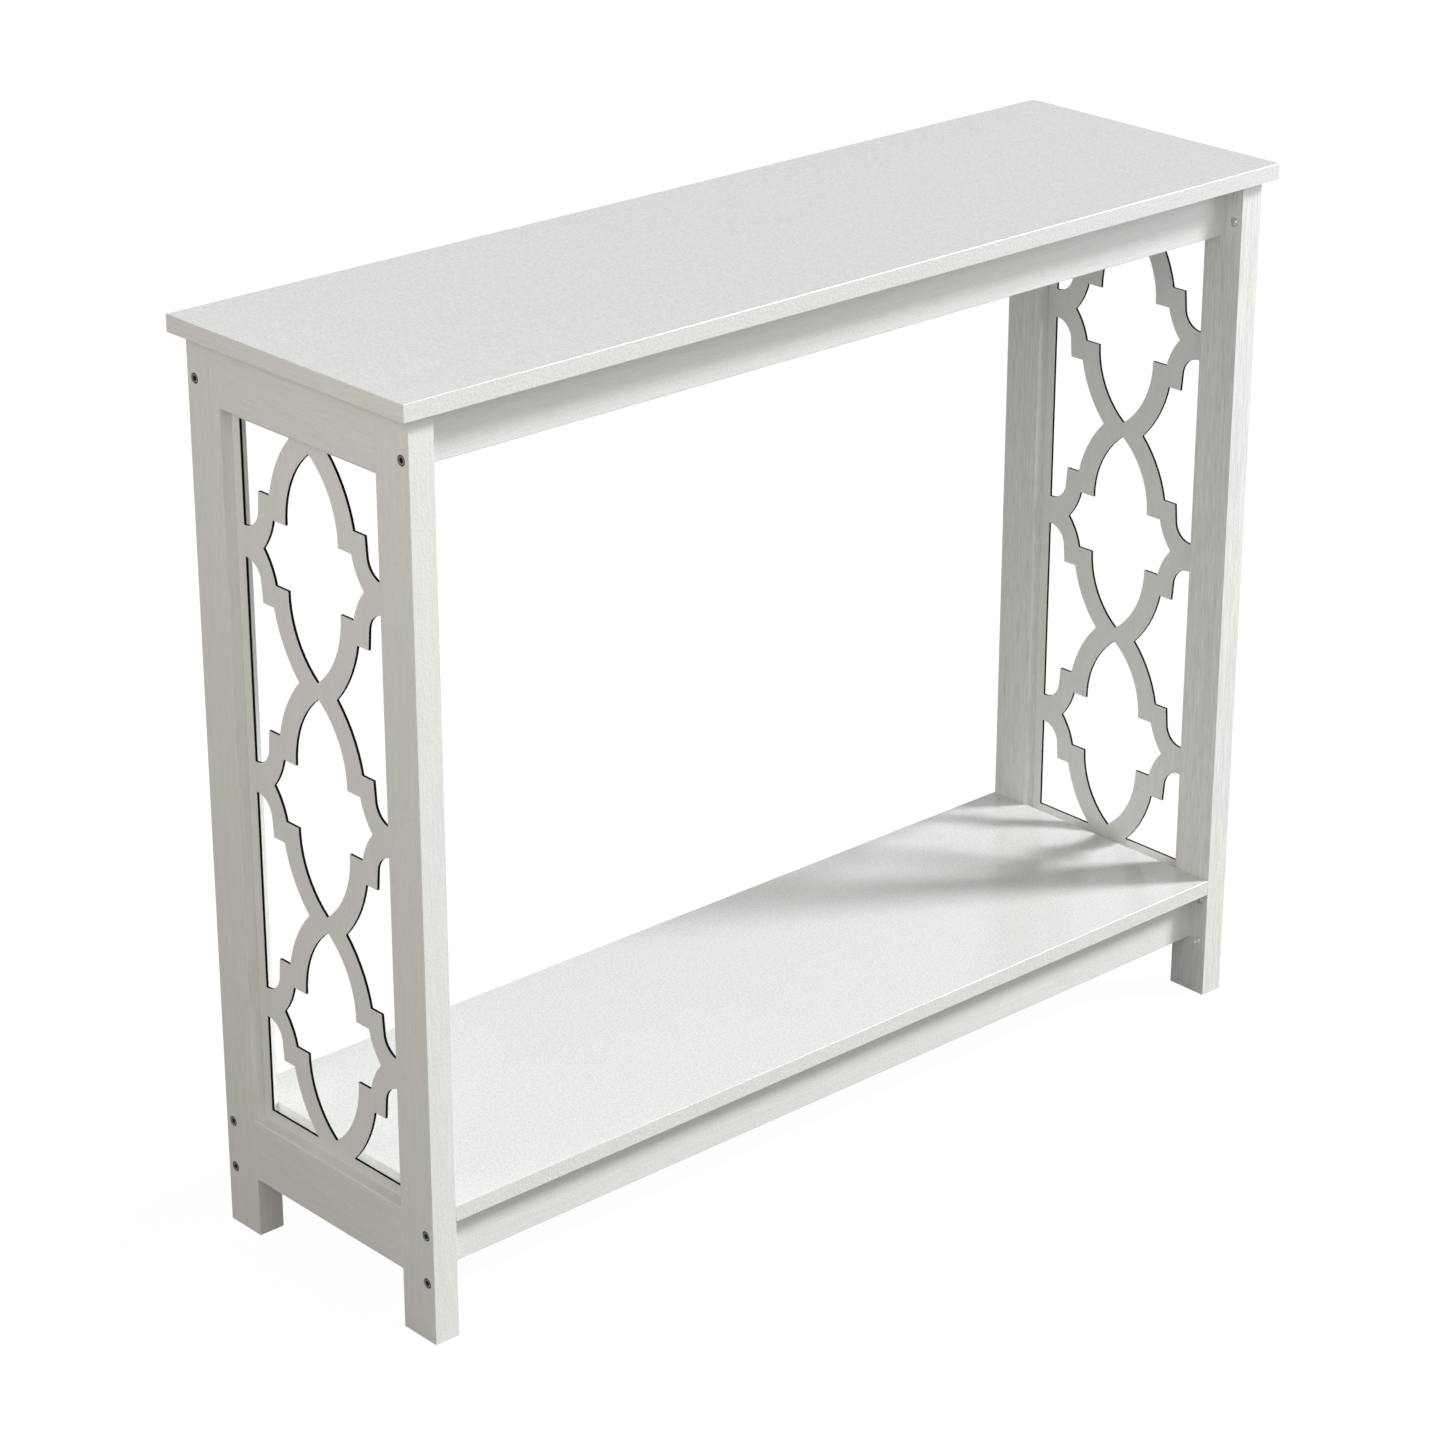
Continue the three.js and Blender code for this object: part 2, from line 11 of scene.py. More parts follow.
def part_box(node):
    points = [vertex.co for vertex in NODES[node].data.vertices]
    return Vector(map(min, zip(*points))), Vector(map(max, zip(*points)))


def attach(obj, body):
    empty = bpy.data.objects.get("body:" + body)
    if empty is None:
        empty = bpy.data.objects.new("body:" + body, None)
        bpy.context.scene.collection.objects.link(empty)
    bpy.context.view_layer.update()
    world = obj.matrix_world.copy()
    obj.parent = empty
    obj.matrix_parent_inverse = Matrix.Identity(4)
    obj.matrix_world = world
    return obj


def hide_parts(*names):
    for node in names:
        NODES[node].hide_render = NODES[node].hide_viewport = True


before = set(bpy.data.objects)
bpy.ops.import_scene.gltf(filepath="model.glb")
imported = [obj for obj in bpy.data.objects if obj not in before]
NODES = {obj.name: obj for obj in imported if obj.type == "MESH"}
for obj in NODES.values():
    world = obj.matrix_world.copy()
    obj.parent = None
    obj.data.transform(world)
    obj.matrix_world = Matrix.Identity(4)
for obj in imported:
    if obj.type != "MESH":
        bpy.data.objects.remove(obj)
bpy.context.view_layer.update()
SIDES = ("left", "right")
ROWS = ("front", "rear")
LEVELS = ("upper", "middle", "lower")
LONG_RAILS = ("apron", "stretcher")
MM = 0.001

# ------------------------------------------------------------------ camera

# The photograph's viewing angle. The heading turns from +X towards +Y.
EYE = Vector((-2.30101, -2.48337, 1.82281))
HEADING = math.radians(47.6524)
PITCH = math.radians(-23.1354)
ROLL = math.radians(0.0145)
LENS_MM = 103.034
SENSOR_MM = 36.0
VIEW_LIMIT = 50.0
QUARTER_TURN = math.radians(90.0)


def add_camera():
    data = bpy.data.cameras.new("camera")
    data.sensor_width = SENSOR_MM
    data.lens = LENS_MM
    data.clip_end = VIEW_LIMIT
    cam = bpy.data.objects.new("camera", data)
    bpy.context.scene.collection.objects.link(cam)
    cam.matrix_world = (
        Matrix.Translation(EYE)
        @ Matrix.Rotation(HEADING - QUARTER_TURN, 4, "Z")
        @ Matrix.Rotation(PITCH + QUARTER_TURN, 4, "X")
        @ Matrix.Rotation(ROLL, 4, "Z")
    )
    bpy.context.scene.camera = cam


# ------------------------------------------------------------------ node helpers


class Graph:
    """Short calls for building one material's or the world's node tree."""

    def __init__(self, tree):
        self.tree = tree
        tree.nodes.clear()

    def node(self, kind, **settings):
        n = self.tree.nodes.new(kind)
        for key, value in settings.items():
            setattr(n, key, value)
        return n

    def link(self, a, b):
        self.tree.links.new(a, b)

    def fill(self, socket, value):
        """value is a constant or an output socket."""
        if isinstance(value, bpy.types.NodeSocket):
            self.link(value, socket)
        else:
            socket.default_value = value

    def object_coords(self, scale, offset=(0, 0, 0)):
        coords = self.node("ShaderNodeTexCoord")
        mapping = self.node("ShaderNodeMapping")
        mapping.inputs["Scale"].default_value = scale
        mapping.inputs["Location"].default_value = offset
        self.link(coords.outputs["Object"], mapping.inputs["Vector"])
        return mapping.outputs["Vector"]

    def noise(self, vector, detail, rough, distortion=0.0):
        n = self.node("ShaderNodeTexNoise")
        n.inputs["Scale"].default_value = 1.0
        n.inputs["Detail"].default_value = detail
        n.inputs["Roughness"].default_value = rough
        n.inputs["Distortion"].default_value = distortion
        self.link(vector, n.inputs["Vector"])
        return n.outputs["Fac"]

    def math(self, op, a, b):
        n = self.node("ShaderNodeMath", operation=op)
        self.fill(n.inputs[0], a)
        self.fill(n.inputs[1], b)
        return n.outputs[0]

    def remap(self, value, low, high, to_low=0.0, to_high=1.0, smooth=False):
        n = self.node("ShaderNodeMapRange")
        if smooth:
            n.interpolation_type = "SMOOTHSTEP"
        for name, v in (
            ("Value", value),
            ("From Min", low),
            ("From Max", high),
            ("To Min", to_low),
            ("To Max", to_high),
        ):
            self.fill(n.inputs[name], v)
        return n.outputs["Result"]

    def mix(self, factor, a, b):
        n = self.node("ShaderNodeMix", data_type="RGBA")
        self.fill(n.inputs["Factor"], factor)
        self.fill(n.inputs["A"], a)
        self.fill(n.inputs["B"], b)
        return n.outputs["Result"]

    def bump(self, height, distance, strength, below=None):
        """below is the normal of a bump that lies under this one."""
        n = self.node("ShaderNodeBump")
        n.inputs["Strength"].default_value = strength
        n.inputs["Distance"].default_value = distance
        self.link(height, n.inputs["Height"])
        if below is not None:
            self.link(below, n.inputs["Normal"])
        return n.outputs["Normal"]

    def principled(self, color, roughness, normal=None, metallic=0.0):
        n = self.node("ShaderNodeBsdfPrincipled")
        self.fill(n.inputs["Base Color"], color)
        self.fill(n.inputs["Roughness"], roughness)
        n.inputs["Metallic"].default_value = metallic
        if normal is not None:
            self.link(normal, n.inputs["Normal"])
        out = self.node("ShaderNodeOutputMaterial")
        self.link(n.outputs["BSDF"], out.inputs["Surface"])
        return n


def new_material(name):
    mat = bpy.data.materials.new(name)
    mat.use_nodes = True
    return mat, Graph(mat.node_tree)


def stretched(axis, along, across):
    """Texture scale per metre, low along the grain axis and high across it."""
    return tuple(along if name == axis else across for name in "xyz")


# ------------------------------------------------------------------ materials

# The top's white is set darker than the shelf's, a painted shade. The top's long edges are
# painted lighter than its face, a painted highlight, and the shelf's ends much lighter, painted
# light bounced off the lit panel beside them.
TOP_SHADED_WHITE = (0.706, 0.706, 0.692)
TOP_EDGE_LIT_WHITE = (0.757, 0.757, 0.742)
SHELF_WHITE = (0.772, 0.772, 0.757)
SHELF_END_LIT_WHITE = (0.92, 0.92, 0.905)
FRAME_WHITE = (0.80, 0.80, 0.785)
PANEL_WHITE = (0.821, 0.821, 0.805)

# How far the paint's tone strays from its mean: broad figure, streaks, pore lines, speckle.
BOARD_TONES = (0.006, 0.010, 0.015, 0.090)
FRAME_TONES = (0.010, 0.026, 0.045, 0.022)
STRONG_TONES = (0.018, 0.060, 0.130, 0.022)
PANEL_TONES = (0.008, 0.014, 0.030, 0.016)
FULL_TONE = 0.15

# Scales of the paint's patterns per metre, along and across the grain.
FIGURE_SCALE = (3.0, 60.0)
STREAK_SCALE = (12.0, 380.0)
PORE_SCALE = (45.0, 950.0)
SPECKLE_SCALE = (460.0, 460.0)
# How far each piece's seed moves its patterns, so no two pieces look alike.
SEED_STEP = (0.731, 1.177, 0.397)

PORE_RELIEF = 0.04 * MM
ORANGE_PEEL = 0.22 * MM
PAINT_ROUGHNESS = 0.5
LACQUER_ROUGHNESS = 0.18
LACQUER_IOR = 1.5
CHAR_RELIEF = 0.08 * MM
CHAR_SPECULAR = 0.05
METAL_WEAR_SCALE = 900.0
METAL_RELIEF = 0.03 * MM
BEECH_RELIEF = 0.1 * MM


def shade(color, factor=1.0):
    return tuple(c * factor for c in color) + (1.0,)


def painted_wood(name, base, grain, seed, tones):
    """White paint over wood: faint grain along one axis, pore lines and an orange-peel speckle.

    The colour and the bumps are in the paint. The clear lacquer over it is smooth.
    """
    mat, g = new_material(name)
    offset = tuple(seed * step for step in SEED_STEP)

    def coords(scale):
        return g.object_coords(stretched(grain, *scale), offset)

    figure = g.noise(coords(FIGURE_SCALE), 3.0, 0.55, 0.6)
    streak = g.noise(coords(STREAK_SCALE), 2.0, 0.6, 0.3)
    pore = g.noise(coords(PORE_SCALE), 2.0, 0.6)
    speckle = g.noise(coords(SPECKLE_SCALE), 1.0, 0.5)

    tone = 0.0
    for pattern, amount in zip((figure, streak, pore, speckle), tones):
        tone = g.math("ADD", g.remap(pattern, 0.25, 0.75, -amount, amount), tone)
    factor = g.remap(tone, -FULL_TONE, FULL_TONE)
    color = g.mix(factor, shade(base, 1.0 - FULL_TONE), shade(base, 1.0 + FULL_TONE))

    lines = g.remap(pore, 0.35, 0.65, smooth=True)
    normal = g.bump(speckle, ORANGE_PEEL, 1.0, below=g.bump(lines, PORE_RELIEF, 0.6))
    shader = g.principled(color, PAINT_ROUGHNESS, normal)
    shader.inputs["Specular IOR Level"].default_value = 0.0
    shader.inputs["Coat Weight"].default_value = 1.0
    shader.inputs["Coat Roughness"].default_value = LACQUER_ROUGHNESS
    shader.inputs["Coat IOR"].default_value = LACQUER_IOR
    return mat


def burnt_edge():
    """Cut edge of the thin panel, charred black by the cutter, with fine lines across it."""
    mat, g = new_material("burnt_edge")
    lines = g.noise(g.object_coords(stretched("x", 20.0, 1100.0)), 3.0, 0.6)
    patch = g.noise(g.object_coords((60.0, 60.0, 60.0)), 2.0, 0.5)
    char = g.mix(
        g.remap(lines, 0.3, 0.7),
        shade((0.001, 0.001, 0.001)),
        shade((0.006, 0.005, 0.005)),
    )
    color = g.mix(g.remap(patch, 0.5, 0.8, 0.0, 0.4), char, shade((0.012, 0.009, 0.007)))
    shader = g.principled(color, 0.9, g.bump(lines, CHAR_RELIEF, 0.8))
    shader.inputs["Specular IOR Level"].default_value = CHAR_SPECULAR
    return mat


def scorched_arris():
    """The paint's very edge beside the cut, browned in places."""
    mat, g = new_material("scorched_arris")
    patch = g.noise(g.object_coords((180.0, 180.0, 180.0)), 3.0, 0.6)
    color = g.mix(
        g.remap(patch, 0.35, 0.65),
        shade((0.004, 0.004, 0.003)),
        shade((0.05, 0.04, 0.03)),
    )
    shader = g.principled(color, 0.85)
    shader.inputs["Specular IOR Level"].default_value = CHAR_SPECULAR
    return mat


def metal(name, dark, light, rough_low, rough_high, metallic):
    mat, g = new_material(name)
    wear = g.noise(g.object_coords((METAL_WEAR_SCALE,) * 3), 3.0, 0.6)
    color = g.mix(g.remap(wear, 0.35, 0.65), shade(dark), shade(light))
    roughness = g.remap(wear, 0.3, 0.7, rough_low, rough_high)
    normal = g.bump(wear, METAL_RELIEF, 0.5)
    g.principled(color, roughness, normal, metallic)
    return mat


def bare_beech():
    mat, g = new_material("bare_beech")
    fleck = g.noise(g.object_coords(stretched("z", 120.0, 1200.0)), 3.0, 0.6)
    color = g.mix(
        g.remap(fleck, 0.3, 0.7),
        shade((0.62, 0.42, 0.24)),
        shade((0.78, 0.58, 0.37)),
    )
    g.principled(color, 0.8, g.bump(fleck, BEECH_RELIEF, 0.6))
    return mat


# ------------------------------------------------------------------ finished wood pieces

# Radii of the eased edges. The seam radius is for edges that meet a neighbour.
SEAM_RADIUS = 0.15 * MM
TOP_UPPER_RADIUS = 0.65 * MM
BOARD_RADIUS = 0.6 * MM
LEG_OUTER_RADIUS = 0.6 * MM
LEG_INNER_RADIUS = 0.3 * MM
LEG_FOOT_RADIUS = 0.4 * MM
END_RAIL_TOP_RADIUS = 1.2 * MM
END_RAIL_BOTTOM_RADIUS = 0.5 * MM
LONG_RAIL_RADIUS = 0.8 * MM
# Radii up to this one are rounded in two steps, larger ones in four.
FINE_RADIUS = 0.4 * MM
SCORCH_WIDTH = 0.07 * MM
PANEL_BORDER = 0.1 * MM

JOIN_DISTANCE = 0.002 * MM
PLANE_TOLERANCE = 0.02 * MM
# Angles between neighbouring faces, in radians. Below the first the faces are joined, above
# the second their edge is a corner to ease, and above the third it is shaded as a crisp edge.
FLAT_ANGLE = math.radians(0.5)
CORNER_ANGLE = 0.5
SHARP_ANGLE = math.radians(30.0)
# A face looks along an axis when that part of its normal is larger than this.
FACING = 0.9

PANEL_PAINT, PANEL_BURNT, PANEL_SCORCHED = 0, 1, 2
FIRST_WOOD_SEED = 3
FIRST_PANEL_SEED = 31
END_BAND_SEEDS = 40


def cleaned_mesh(node):
    """The CAD node's mesh with its corners joined and its flat faces whole."""
    bm = bmesh.new()
    bm.from_mesh(NODES[node].data)
    bmesh.ops.remove_doubles(bm, verts=bm.verts, dist=JOIN_DISTANCE)
    bmesh.ops.dissolve_limit(bm, angle_limit=FLAT_ANGLE, verts=bm.verts, edges=bm.edges)
    return bm


def looks_along(face, axis):
    return abs(face.normal[axis]) > FACING


def on_plane(edge, axis, value):
    return all(abs(v.co[axis] - value) < PLANE_TOLERANCE for v in edge.verts)


def box_edges(bm, body):
    """Edges of the piece's outer box, each with the two planes it lies on: {axis: -1 or 1}."""
    low, high = body
    found = []
    for edge in bm.edges:
        if len(edge.link_faces) != 2 or edge.calc_face_angle(0.0) < CORNER_ANGLE:
            continue
        planes = {}
        for axis in range(3):
            if on_plane(edge, axis, low[axis]):
                planes[axis] = -1
            elif on_plane(edge, axis, high[axis]):
                planes[axis] = 1
        if len(planes) == 2:
            found.append((edge, planes))
    return found


def bevel(bm, edges, width, steps, material=-1):
    """The new faces take the material at that place, or with -1 their neighbours'."""
    bmesh.ops.bevel(
        bm,
        geom=edges,
        offset=width,
        offset_type="OFFSET",
        segments=steps,
        profile=0.5,
        affect="EDGES",
        clamp_overlap=False,
        material=material,
    )


def ease_edges(bm, body, radius_of):
    """Rounds the outer edges. radius_of(planes) gives each edge's radius."""
    radii = sorted({radius_of(planes) for _, planes in box_edges(bm, body)}, reverse=True)
    for radius in radii:
        edges = [edge for edge, planes in box_edges(bm, body) if radius_of(planes) == radius]
        bevel(bm, edges, radius, 4 if radius > FINE_RADIUS else 2)


def finished_piece(node, bm, materials):
    """Makes bm into an object that stands for the CAD node, with smooth rounded edges."""
    mesh = bpy.data.meshes.new(node + "_finished")
    bm.normal_update()
    bm.to_mesh(mesh)
    bm.free()
    for mat in materials:
        mesh.materials.append(mat)
    mesh.shade_smooth()
    mesh.set_sharp_from_angle(angle=SHARP_ANGLE)
    piece = bpy.data.objects.new(node + "_finished", mesh)
    bpy.context.scene.collection.objects.link(piece)
    weighted = piece.modifiers.new("weighted_normals", "WEIGHTED_NORMAL")
    weighted.keep_sharp = True
    weighted.weight = 100
    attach(piece, "root")
    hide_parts(node)


def finish_wood(node, radius_of, paint, bands=(), body=None):
    """bands are the paints of a board's edge bands: on its ends, then on its long edges. The
    top's long edges and the shelf's ends are painted lighter, as painted light.
    """
    bm = cleaned_mesh(node)
    ease_edges(bm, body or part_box(node), radius_of)
    bm.normal_update()
    for face in bm.faces:
        banded = [axis + 1 for axis in range(len(bands)) if looks_along(face, axis)]
        face.material_index = banded[0] if banded else 0
    finished_piece(node, bm, [paint, *bands])


def top_radius(planes):
    if planes.get(2) == 1:
        return TOP_UPPER_RADIUS
    return SEAM_RADIUS if 2 in planes else BOARD_RADIUS


def shelf_radius(planes):
    return SEAM_RADIUS if 0 in planes else BOARD_RADIUS


def leg_radius(row):
    outer = -1 if row == "front" else 1

    def radius(planes):
        if 2 in planes:
            return LEG_FOOT_RADIUS if planes[2] == -1 else SEAM_RADIUS
        return LEG_OUTER_RADIUS if planes[1] == outer else LEG_INNER_RADIUS

    return radius


def end_rail_radius(level):
    """The top rail's upper edges meet the top board."""

    def radius(planes):
        if 1 in planes:
            return SEAM_RADIUS
        if planes[2] == -1:
            return END_RAIL_BOTTOM_RADIUS
        return END_RAIL_TOP_RADIUS if level == "bottom" else SEAM_RADIUS

    return radius


def long_rail_radius(planes):
    """Its ends meet the legs, its upper edges the board above."""
    return SEAM_RADIUS if 0 in planes or planes[2] == 1 else LONG_RAIL_RADIUS


def without_tenons(rail, side):
    """The end rail's box between the legs."""
    low, high = (corner.copy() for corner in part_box(rail))
    high.y = abs(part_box(f"leg_{side}_rear")[0].y)
    low.y = -high.y
    return low, high


def add_boards():
    # The top's face is painted darker as shade. Its long edges and the shelf's ends are painted
    # lighter as light.
    for seed, name, white, edge_white, end_white, radius_of in (
        (1, "top_board", TOP_SHADED_WHITE, TOP_EDGE_LIT_WHITE, FRAME_WHITE, top_radius),
        (2, "shelf_board", SHELF_WHITE, SHELF_WHITE, SHELF_END_LIT_WHITE, shelf_radius),
    ):
        paint = painted_wood(name + "_paint", white, "x", seed, BOARD_TONES)
        end_seed = seed + END_BAND_SEEDS
        end_band_and_light = painted_wood(name + "_end_paint", end_white, "y", end_seed, FRAME_TONES)
        edge_band_and_highlight = painted_wood(name + "_edge_paint", edge_white, "x", seed, BOARD_TONES)
        finish_wood(name, radius_of, paint, bands=(end_band_and_light, edge_band_and_highlight))


def add_frame_wood(seeds, name, grain, radius_of, tones=FRAME_TONES, body=None):
    paint = painted_wood(name + "_paint", FRAME_WHITE, grain, next(seeds), tones)
    finish_wood(name, radius_of, paint, body=body)


def add_frames():
    seeds = itertools.count(FIRST_WOOD_SEED)
    for row in ROWS:
        for rail in LONG_RAILS:
            add_frame_wood(seeds, f"{rail}_{row}", "x", long_rail_radius)
    for side in SIDES:
        # The photograph shows a stronger grain on the right legs.
        tones = STRONG_TONES if side == "right" else FRAME_TONES
        for row in ROWS:
            add_frame_wood(seeds, f"leg_{side}_{row}", "z", leg_radius(row), tones)
        for level in ("top", "bottom"):
            rail = f"end_{level}_rail_{side}"
            body = without_tenons(rail, side)
            add_frame_wood(seeds, rail, "y", end_rail_radius(level), body=body)


def rim_edges(bm, body):
    """The edges of the panel's cut openings, without those of its outer border."""
    low, high = body

    def inside(edge):
        return all(
            low[axis] + PANEL_BORDER < v.co[axis] < high[axis] - PANEL_BORDER
            for v in edge.verts
            for axis in (1, 2)
        )

    rim = {PANEL_PAINT, PANEL_BURNT}
    return [
        edge
        for edge in bm.edges
        if {face.material_index for face in edge.link_faces} == rim and inside(edge)
    ]


def add_lattices():
    burnt = burnt_edge()
    scorched = scorched_arris()
    for seed, side in enumerate(SIDES, FIRST_PANEL_SEED):
        node = f"lattice_panel_{side}"
        bm = cleaned_mesh(node)
        for face in bm.faces:
            face.material_index = PANEL_PAINT if looks_along(face, 0) else PANEL_BURNT
        bevel(bm, rim_edges(bm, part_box(node)), SCORCH_WIDTH, 1, PANEL_SCORCHED)
        paint = painted_wood(node + "_paint", PANEL_WHITE, "z", seed, PANEL_TONES)
        finished_piece(node, bm, [paint, burnt, scorched])


# ------------------------------------------------------------------ fasteners


def paint_node(node, material):
    """Gives a CAD node its material."""
    mesh = NODES[node].data
    mesh.materials.clear()
    mesh.materials.append(material)


TURNED_SIDES = 48

# Turned profiles: depth below the outermost face and radius, in millimetres, section, material.
# The hexagon's radius is to its corners.
# The bolt head's grey flat ring is partly worn steel and partly a painted glint.
BLACK, WEAR_AND_GLINT = 0, 1
BOLT_PROFILE = (
    (2.35, 0.0, "point", BLACK),
    (2.0, 2.0, "hexagon", BLACK),
    (0.35, 2.3, "hexagon", BLACK),
    (0.14, 2.65, "circle", BLACK),
    (0.12, 3.35, "circle", WEAR_AND_GLINT),
    (0.02, 3.5, "circle", BLACK),
    (0.0, 3.7, "circle", BLACK),
    (0.07, 4.1, "circle", BLACK),
    (0.28, 4.42, "circle", BLACK),
    (0.6, 4.56, "circle", BLACK),
    (0.9, 4.6, "circle", BLACK),
    (3.0, 4.6, "circle", BLACK),
    (3.0, 2.5, "circle", BLACK),
    (19.6, 2.5, "circle", BLACK),
    (20.0, 2.1, "circle", BLACK),
    (20.0, 0.0, "point", BLACK),
)
PALE = 0
CAP_PROFILE = (
    (0.06, 0.0, "point", PALE),
    (0.08, 1.5, "circle", PALE),
    (0.18, 2.4, "circle", PALE),
    (0.50, 2.85, "circle", PALE),
    (0.62, 3.05, "circle", PALE),
    (0.62, 3.3, "circle", PALE),
    (0.04, 3.65, "circle", PALE),
    (0.0, 3.8, "circle", PALE),
    (0.14, 4.1, "circle", PALE),
    (0.4, 4.26, "circle", PALE),
    (0.8, 4.3, "circle", PALE),
    (2.3, 4.3, "circle", PALE),
    (2.3, 3.6, "circle", PALE),
    (16.8, 3.6, "circle", PALE),
    (16.8, 2.7, "circle", PALE),
    (3.3, 2.7, "circle", PALE),
    (3.3, 0.0, "point", PALE),
)


def section_radius(radius, section, angle):
    if section != "hexagon":
        return radius
    sixth = math.pi / 3
    return radius * math.cos(sixth / 2) / math.cos(angle % sixth - sixth / 2)


def ring_points(x, axis_y, axis_z, radius, section):
    """Points of one section across X. radius is in metres."""
    for i in range(1 if section == "point" else TURNED_SIDES):
        angle = 2 * math.pi * i / TURNED_SIDES
        reach = section_radius(radius, section, angle)
        yield x, axis_y + reach * math.cos(angle), axis_z + reach * math.sin(angle)


def turned_piece(node, out, profile, materials):
    """Turns a profile about the CAD node's own axis. out is the way its face points along X."""
    low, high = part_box(node)
    face_x = high.x if out > 0 else low.x
    axis_y, axis_z = (low.y + high.y) / 2, (low.z + high.z) / 2
    bm = bmesh.new()
    rings = []
    for depth, radius, section, _ in profile:
        x = face_x - out * depth * MM
        points = ring_points(x, axis_y, axis_z, radius * MM, section)
        rings.append([bm.verts.new(point) for point in points])
    for here, there, (_, _, _, material) in zip(rings, rings[1:], profile[1:]):
        for i in range(TURNED_SIDES):
            corners = (
                here[i % len(here)],
                here[(i + 1) % len(here)],
                there[(i + 1) % len(there)],
                there[i % len(there)],
            )
            # A point's ring holds one vertex, which would otherwise come twice.
            face = bm.faces.new(tuple(dict.fromkeys(corners)))
            face.material_index = material
    bmesh.ops.recalc_face_normals(bm, faces=bm.faces)
    finished_piece(node, bm, materials)


def add_fasteners():
    black = metal("black_oxide", (0.010, 0.010, 0.010), (0.026, 0.025, 0.024), 0.42, 0.58, 0.0)
    # Steel for the bolt head's flat ring: partly wear, partly a painted glint.
    wear_and_glint = metal("worn_steel_and_glint", (0.28, 0.278, 0.275), (0.46, 0.455, 0.45), 0.35, 0.5, 0.5)
    cap = metal("pale_cap", (0.58, 0.577, 0.56), (0.66, 0.657, 0.64), 0.25, 0.4, 1.0)
    zinc = metal("zinc_casting", (0.42, 0.42, 0.42), (0.60, 0.60, 0.60), 0.4, 0.6, 0.8)
    beech = bare_beech()
    for side, out in (("left", -1), ("right", 1)):
        for row in ROWS:
            for level in LEVELS:
                spot = f"{level}_{side}_{row}"
                bolt, nut = f"leg_bolt_{spot}", f"sleeve_nut_{spot}"
                turned_piece(bolt, out, BOLT_PROFILE, [black, wear_and_glint])
                turned_piece(nut, -out, CAP_PROFILE, [cap])
            for rail in LONG_RAILS:
                paint_node(f"cam_{rail}_{side}_{row}", zinc)
                paint_node(f"cam_pin_{rail}_{side}_{row}", zinc)
            paint_node(f"top_dowel_{side}_{row}", beech)


# ------------------------------------------------------------------ studio

# The key light is large and far away: it comes from the right, from in front and from above.
KEY_DIRECTION = Vector((1.48, -1.0, 1.32))
KEY_ANGLE = math.radians(11.0)
KEY_ENERGY = 2.95
KEY_COLOR = (0.942, 1.0, 0.987)

# Square softboxes near the object: place, side, power in watts, colour.
SOFTBOX_TARGET = Vector((-0.3, 0.0, 0.4))
SOFTBOXES = {
    "left_softbox": (Vector((-1.6, -0.4, 1.2)), 1.0, 5.25, (1.0, 0.983, 0.867)),
    "right_softbox": (Vector((1.4, -1.0, 1.0)), 0.8, 7.3, (0.966, 1.0, 1.055)),
    "front_softbox": (Vector((-0.6, -1.6, 1.6)), 1.0, 4.29, (0.918, 1.0, 1.08)),
}

# Soft fill: the colour of the studio's light from each of its four sides, by axis and sign.
FILL = {
    (0, 1): (0.30, 0.28, 0.31),
    (0, -1): (0.59, 0.53, 0.49),
    (1, 1): (0.65, 0.65, 0.663),
    (1, -1): (0.765, 0.685, 0.59),
}
WHITE = (1.0, 1.0, 1.0, 1.0)
REFLECTED_WALLS = (0.90, 0.90, 0.90, 1.0)
REFLECTED_FLOOR = (0.60, 0.60, 0.60, 1.0)

FLOOR_HALF_SIDE = 20.0
# The floor lies a little low, so it never touches the feet.
FLOOR_DROP = 0.5 * MM
# To the camera the floor is nearly all glow. The grey adds the contact shadow.
FLOOR_GLOW = 0.97
FLOOR_SHADOW_GREY = (0.06, 0.06, 0.06, 1.0)
FLOOR_BOUNCE_GREY = (0.24, 0.24, 0.24, 1.0)


def add_light(name, kind, energy, color, aim):
    """aim is the way the light shines."""
    data = bpy.data.lights.new(name, kind)
    data.energy = energy
    data.color = color
    light = bpy.data.objects.new(name, data)
    bpy.context.scene.collection.objects.link(light)
    light.rotation_euler = aim.to_track_quat("-Z", "Y").to_euler()
    light.visible_camera = False
    return light


def add_lights():
    key = add_light("key", "SUN", KEY_ENERGY, KEY_COLOR, -KEY_DIRECTION)
    key.data.angle = KEY_ANGLE
    for name, (place, side, power, color) in SOFTBOXES.items():
        softbox = add_light(name, "AREA", power, color, SOFTBOX_TARGET - place)
        softbox.location = place
        softbox.data.size = side


def fill_light(g):
    """Adds up the sides' colours, each weighted by the squared part of the direction it faces."""
    direction = g.node("ShaderNodeTexCoord").outputs["Generated"]
    parts = g.node("ShaderNodeSeparateXYZ")
    g.link(direction, parts.inputs[0])
    total = (0.0, 0.0, 0.0)
    for (axis, sign), color in FILL.items():
        facing = g.math("MAXIMUM", g.math("MULTIPLY", parts.outputs[axis], sign), 0.0)
        weighted = g.node("ShaderNodeVectorMath", operation="SCALE")
        weighted.inputs[0].default_value = color
        g.link(g.math("MULTIPLY", facing, facing), weighted.inputs["Scale"])
        adding = g.node("ShaderNodeVectorMath", operation="ADD")
        g.fill(adding.inputs[0], total)
        g.link(weighted.outputs["Vector"], adding.inputs[1])
        total = adding.outputs["Vector"]
    return total


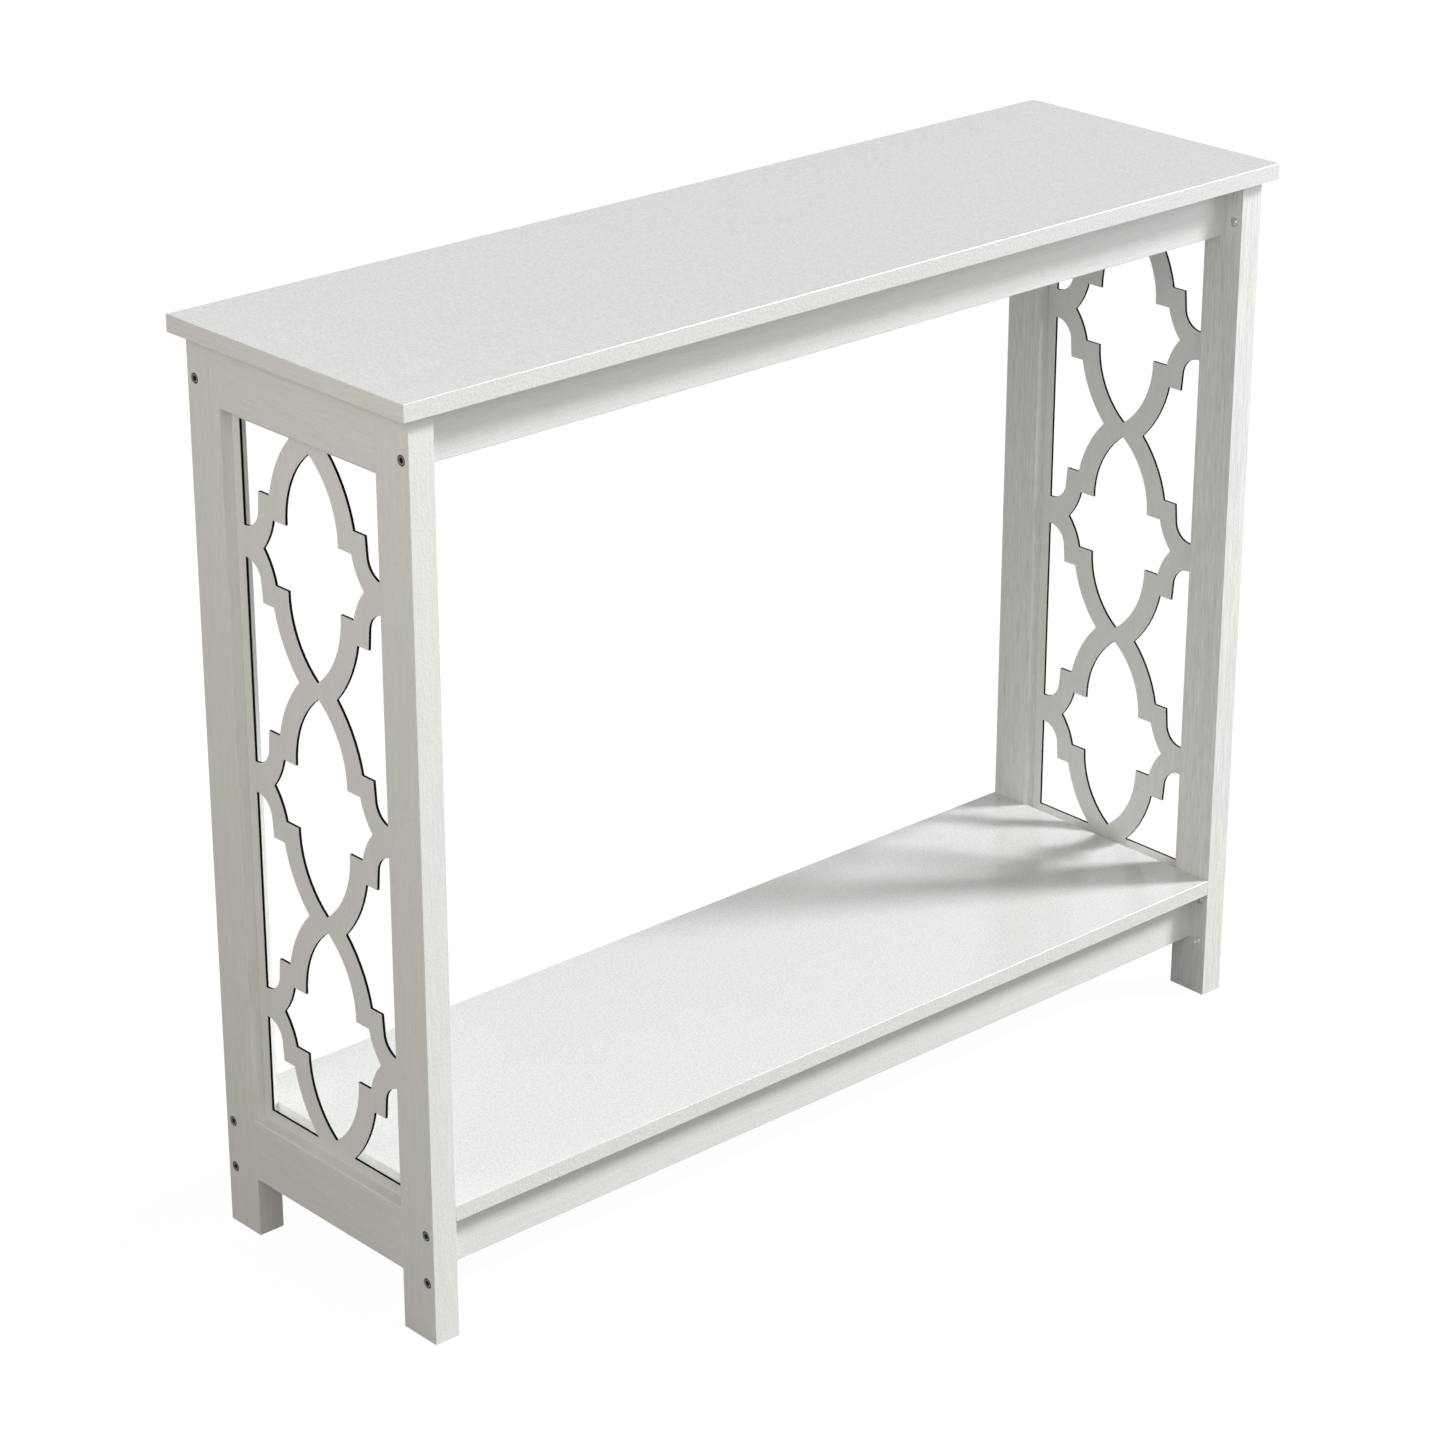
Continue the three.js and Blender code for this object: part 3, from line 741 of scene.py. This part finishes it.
def by_ray(g, diffuse, glossy, camera):
    """One shader for soft light, one for mirror reflections and one for the camera."""
    path = g.node("ShaderNodeLightPath")
    shader = diffuse
    for ray, other in (("Is Glossy Ray", glossy), ("Is Camera Ray", camera)):
        mix = g.node("ShaderNodeMixShader")
        g.link(path.outputs[ray], mix.inputs["Fac"])
        g.link(shader.outputs[0], mix.inputs[1])
        g.link(other.outputs[0], mix.inputs[2])
        shader = mix
    return shader.outputs["Shader"]


def flat_shader(g, kind, color):
    shader = g.node(kind)
    g.fill(shader.inputs["Color"], color)
    return shader


def add_world():
    """White to the camera, pale in reflections. Everything else is lit by the soft fill."""
    world = bpy.data.worlds.new("studio")
    world.use_nodes = True
    bpy.context.scene.world = world
    g = Graph(world.node_tree)
    soft, walls, seen = (
        flat_shader(g, "ShaderNodeBackground", color)
        for color in (fill_light(g), REFLECTED_WALLS, WHITE)
    )
    out = g.node("ShaderNodeOutputWorld")
    g.link(by_ray(g, soft, walls, seen), out.inputs["Surface"])


def floor_paint():
    """Looks near white with a faint contact shadow, and throws only a little light back up."""
    mat, g = new_material("studio_floor")
    seen = g.node("ShaderNodeBsdfPrincipled")
    seen.inputs["Base Color"].default_value = FLOOR_SHADOW_GREY
    seen.inputs["Roughness"].default_value = 1.0
    seen.inputs["Specular IOR Level"].default_value = 0.0
    seen.inputs["Emission Color"].default_value = WHITE
    seen.inputs["Emission Strength"].default_value = FLOOR_GLOW
    bounce = flat_shader(g, "ShaderNodeBsdfDiffuse", FLOOR_BOUNCE_GREY)
    mirrored = flat_shader(g, "ShaderNodeEmission", REFLECTED_FLOOR)
    out = g.node("ShaderNodeOutputMaterial")
    g.link(by_ray(g, bounce, mirrored, seen), out.inputs["Surface"])
    return mat


def add_floor():
    mesh = bpy.data.meshes.new("floor")
    half = FLOOR_HALF_SIDE
    corners = [(-half, -half, 0), (half, -half, 0), (half, half, 0), (-half, half, 0)]
    mesh.from_pydata(corners, [], [(0, 1, 2, 3)])
    mesh.materials.append(floor_paint())
    floor = bpy.data.objects.new("floor", mesh)
    bpy.context.scene.collection.objects.link(floor)
    floor.location.z = -FLOOR_DROP


# ------------------------------------------------------------------ build

add_camera()
add_boards()
add_frames()
add_lattices()
add_fasteners()
add_lights()
add_world()
add_floor()
bpy.context.scene.view_settings.view_transform = "Standard"

bpy.context.view_layer.update()
